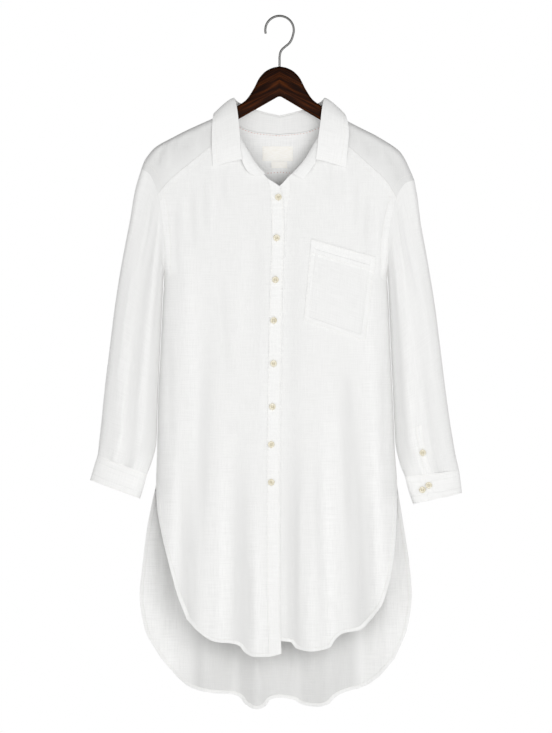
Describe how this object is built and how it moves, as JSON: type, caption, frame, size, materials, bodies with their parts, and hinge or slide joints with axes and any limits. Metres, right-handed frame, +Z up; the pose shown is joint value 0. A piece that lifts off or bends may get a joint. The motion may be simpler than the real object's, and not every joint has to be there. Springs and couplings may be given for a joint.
{
  "type": "long linen shirt on a wooden hanger",
  "caption": "Loose long-sleeved white linen shirt with a collar, button front, chest pocket and a longer curved back hem, hanging on a brown wooden hanger",
  "frame": {"origin": "the inside of the top of the hanger's hook, where it bears on a rail", "axes": "+Z up, +X towards the wearer's left (the picture's right), +Y from the front of the shirt to its back"},
  "size_m": [0.6318, 0.0942, 1.1812],
  "materials": {
    "linen": "plain-woven white linen, washed and slightly sheer",
    "woven_label": "cream woven tape",
    "shell_button": "cream shell, satin",
    "stained_wood": "dark brown stained and lacquered wood",
    "steel_wire": "bright steel wire"
  },
  "bodies": {
    "root": {"back": "linen", "button_1": "shell_button", "button_2": "shell_button", "button_3": "shell_button", "button_4": "shell_button", "button_5": "shell_button", "button_6": "shell_button", "button_7": "shell_button", "button_8": "shell_button", "collar_leaf": "linen", "collar_stand": "linen", "cuff_button_left_1": "shell_button", "cuff_button_left_2": "shell_button", "cuff_button_left_3": "shell_button", "cuff_button_right_1": "shell_button", "cuff_button_right_2": "shell_button", "cuff_button_right_3": "shell_button", "cuff_left": "linen", "cuff_right": "linen", "front_left": "linen", "front_right": "linen", "hanger_hook": "steel_wire", "hanger_wood": "stained_wood", "label": "woven_label", "label_tab": "woven_label", "placket_left": "linen", "placket_right": "linen", "pocket": "linen", "pocket_hem": "linen", "sleeve_left": "linen", "sleeve_placket_left": "linen", "sleeve_placket_right": "linen", "sleeve_right": "linen", "yoke": "linen"}
  },
  "joints": []
}
